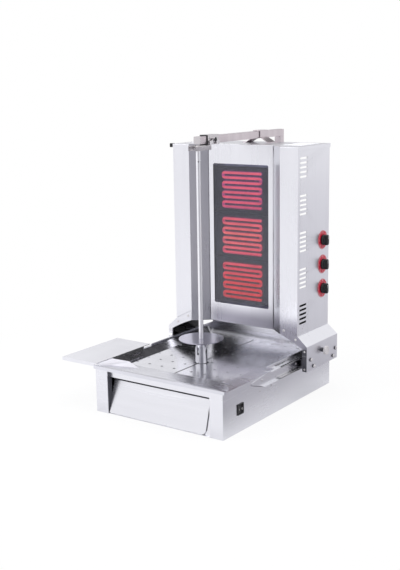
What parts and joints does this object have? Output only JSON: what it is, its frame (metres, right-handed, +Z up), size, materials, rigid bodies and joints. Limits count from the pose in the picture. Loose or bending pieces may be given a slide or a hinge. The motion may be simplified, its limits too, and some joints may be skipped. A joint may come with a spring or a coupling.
{
  "type": "vertical kebab grill",
  "caption": "Vertical kebab grill: a heater tower with glowing elements behind glass slides on rails towards a motor-driven spindle over a drip pan, with a grease drawer and a side shelf.",
  "frame": {"origin": "on the table under the machine, where the spindle axis meets it", "axes": "+Z up along the spindle, -Y towards the front with the drawer, +X to the right seen from the front"},
  "size_m": [0.739, 0.791, 0.9236],
  "materials": {
    "shell_steel": "brushed stainless steel",
    "tower_steel": "brushed stainless steel",
    "pan_steel": "satin stainless steel",
    "tray_steel": "satin stainless steel",
    "turned_steel": "turned stainless steel",
    "arm_steel": "ground steel tube",
    "screw_steel": "bright plated steel",
    "zinc_plate": "zinc-plated sheet",
    "motor_casting": "cast housing",
    "black_plastic": "moulded black plastic",
    "pale_plastic": "ceramic-filled plastic",
    "dark_glass": "tinted glass ceramic",
    "fibre_board": "pressed fibre insulation",
    "glowing_element": "red-hot element tube",
    "red_dial": "printed red plate"
  },
  "bodies": {
    "base": {"base_shell": "shell_steel", "base_floor": "shell_steel", "drip_pan": "pan_steel", "drawer_runners": "zinc_plate", "gear_motor": "motor_casting", "motor_bridge": "zinc_plate", "socket_bearing": "motor_casting", "switch_frame": "black_plastic", "cable_gland": "black_plastic", "rail_fixed_left": "shell_steel", "rail_fixed_right": "shell_steel", "arm_post": "arm_steel", "arm_bar": "arm_steel", "arm_foot": "arm_steel", "arm_end_cap": "arm_steel", "base_screws": "screw_steel"},
    "drawer": {"drawer_box": "shell_steel", "drawer_front": "shell_steel"},
    "left_tray": {"tray_left": "tray_steel"},
    "right_tray": {"tray_right": "tray_steel"},
    "shelf": {"side_shelf": "shell_steel"},
    "rotor": {"drive_socket": "turned_steel", "spindle": "turned_steel", "cross_pin": "turned_steel", "disc_hub": "turned_steel", "meat_disc": "tray_steel"},
    "holder": {"holder_sleeve": "arm_steel", "holder_channel": "arm_steel"},
    "holder_bolt": {"wing_bolt": "screw_steel"},
    "carriage": {"carriage_left": "tower_steel", "carriage_right": "tower_steel", "carriage_floor": "zinc_plate", "rail_spacers": "zinc_plate", "rail_moving_left": "zinc_plate", "rail_moving_right": "zinc_plate", "bracket_screws": "screw_steel", "column_left": "tower_steel", "column_right": "tower_steel", "tower_back": "tower_steel", "tower_top": "tower_steel", "corner_block": "black_plastic", "arm_guide": "arm_steel", "front_panel": "tower_steel", "glass_window": "dark_glass", "radiant_housing": "zinc_plate", "insulation_boards": "fibre_board", "element_top": "glowing_element", "element_middle": "glowing_element", "element_bottom": "glowing_element", "energy_regulators": "black_plastic", "dial_plates": "red_dial", "terminal_block": "pale_plastic"},
    "upper_knob": {"knob_top": "black_plastic"},
    "middle_knob": {"knob_middle": "black_plastic"},
    "lower_knob": {"knob_bottom": "black_plastic"},
    "switch_rocker": {"rocker": "black_plastic"},
    "left_thumb_screw": {"thumb_screw_left": "screw_steel"},
    "right_thumb_screw": {"thumb_screw_right": "screw_steel"},
    "ball_strips": {"ball_strip_left": "screw_steel", "ball_strip_right": "screw_steel"}
  },
  "joints": [
    {"name": "carriage_slide", "type": "slide", "parent": "base", "child": "carriage", "axis": [0, 1, 0], "range_m": [-0.1, 0.06]},
    {"name": "ball_strip_slide", "type": "slide", "parent": "base", "child": "ball_strips", "axis": [0, 1, 0], "range_m": [-0.05, 0.03]},
    {"name": "drawer_slide", "type": "slide", "parent": "base", "child": "drawer", "axis": [0, -1, 0], "range_m": [0, 0.13]},
    {"name": "left_tray_lift", "type": "slide", "parent": "base", "child": "left_tray", "axis": [0, 0, 1], "range_m": [0, 0.03]},
    {"name": "right_tray_lift", "type": "slide", "parent": "base", "child": "right_tray", "axis": [0, 0, 1], "range_m": [0, 0.03]},
    {"name": "shelf_lift", "type": "slide", "parent": "base", "child": "shelf", "axis": [0, 0, 1], "range_m": [0, 0.08]},
    {"name": "spindle_spin", "type": "hinge", "parent": "base", "child": "rotor", "pos_m": [0, 0, 0.2], "axis": [0, 0, 1], "continuous": true},
    {"name": "holder_slide", "type": "slide", "parent": "base", "child": "holder", "axis": [0, 1, 0], "range_m": [0, 0.09]},
    {"name": "wing_bolt_turn", "type": "hinge", "parent": "holder", "child": "holder_bolt", "pos_m": [0.02, 0.064, 0.9075], "axis": [1, 0, 0], "range_deg": [0, 180]},
    {"name": "knob_top_turn", "type": "hinge", "parent": "carriage", "child": "upper_knob", "pos_m": [0.27, 0.385, 0.544], "axis": [-1, 0, 0], "range_deg": [0, 270]},
    {"name": "knob_middle_turn", "type": "hinge", "parent": "carriage", "child": "middle_knob", "pos_m": [0.27, 0.385, 0.457], "axis": [-1, 0, 0], "range_deg": [0, 270]},
    {"name": "knob_bottom_turn", "type": "hinge", "parent": "carriage", "child": "lower_knob", "pos_m": [0.27, 0.385, 0.37], "axis": [-1, 0, 0], "range_deg": [0, 270]},
    {"name": "rocker_tilt", "type": "hinge", "parent": "base", "child": "switch_rocker", "pos_m": [0.257, -0.157, 0.077], "axis": [0, 0, 1], "range_deg": [0, 14]},
    {"name": "thumb_screw_left_turn", "type": "hinge", "parent": "carriage", "child": "left_thumb_screw", "pos_m": [-0.31, 0.316, 0.164], "axis": [-1, 0, 0], "range_deg": [0, 180]},
    {"name": "thumb_screw_right_turn", "type": "hinge", "parent": "carriage", "child": "right_thumb_screw", "pos_m": [0.31, 0.316, 0.164], "axis": [1, 0, 0], "range_deg": [0, 180]}
  ],
  "couplings": [
    {"joint": "ball_strip_slide", "follows": "carriage_slide", "ratio": 0.5}
  ]
}
